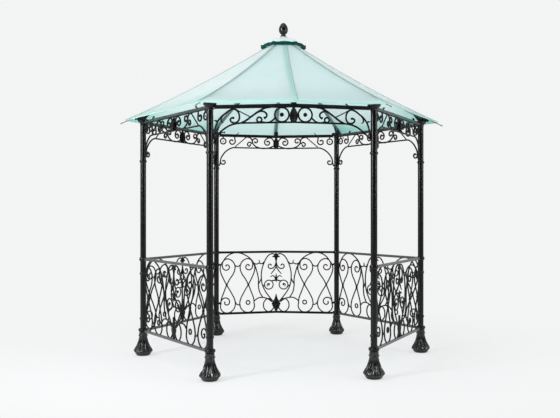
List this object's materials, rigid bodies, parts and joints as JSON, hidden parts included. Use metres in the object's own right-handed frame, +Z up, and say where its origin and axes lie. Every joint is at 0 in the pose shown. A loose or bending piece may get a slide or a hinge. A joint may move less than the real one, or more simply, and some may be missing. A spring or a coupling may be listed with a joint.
{
  "type": "garden gazebo",
  "caption": "Hexagonal open garden shelter of scrolled iron bars, with railings on every side but the entrance and a translucent tiered roof.",
  "frame": {"origin": "centre of the plan on the floor", "axes": "+Z up, the open entrance side faces -Y, +X to the right seen from the entrance"},
  "size_m": [3.4898, 3.2272, 3.544],
  "materials": {
    "posts": "satin black paint",
    "feet": "satin black paint on a casting",
    "railings": "satin black paint",
    "scrollwork": "satin black paint",
    "beams": "satin dark grey paint",
    "rafters": "satin dark grey paint",
    "roof_panels": "translucent pale teal sheet",
    "cap_roof": "translucent pale teal sheet",
    "finial": "gloss black"
  },
  "bodies": {
    "root": {"post_front_right": "posts", "post_right": "posts", "post_back_right": "posts", "post_back_left": "posts", "post_left": "posts", "post_front_left": "posts", "foot_front_right": "feet", "foot_right": "feet", "foot_back_right": "feet", "foot_back_left": "feet", "foot_left": "feet", "foot_front_left": "feet", "railing_right_front": "railings", "railing_right_back": "railings", "railing_back": "railings", "railing_left_back": "railings", "railing_left_front": "railings", "eave_beam_front": "beams", "eave_beam_right_front": "beams", "eave_beam_right_back": "beams", "eave_beam_back": "beams", "eave_beam_left_back": "beams", "eave_beam_left_front": "beams", "frieze_front": "scrollwork", "frieze_right_front": "scrollwork", "frieze_right_back": "scrollwork", "frieze_back": "scrollwork", "frieze_left_back": "scrollwork", "frieze_left_front": "scrollwork", "brackets_front": "scrollwork", "brackets_right_front": "scrollwork", "brackets_right_back": "scrollwork", "brackets_back": "scrollwork", "brackets_left_back": "scrollwork", "brackets_left_front": "scrollwork", "roof_panel_front": "roof_panels", "roof_panel_right_front": "roof_panels", "roof_panel_right_back": "roof_panels", "roof_panel_back": "roof_panels", "roof_panel_left_back": "roof_panels", "roof_panel_left_front": "roof_panels", "hip_rafters": "rafters", "mid_rafters": "rafters", "roof_hub": "rafters", "cap_roof": "cap_roof", "finial": "finial"}
  },
  "joints": []
}
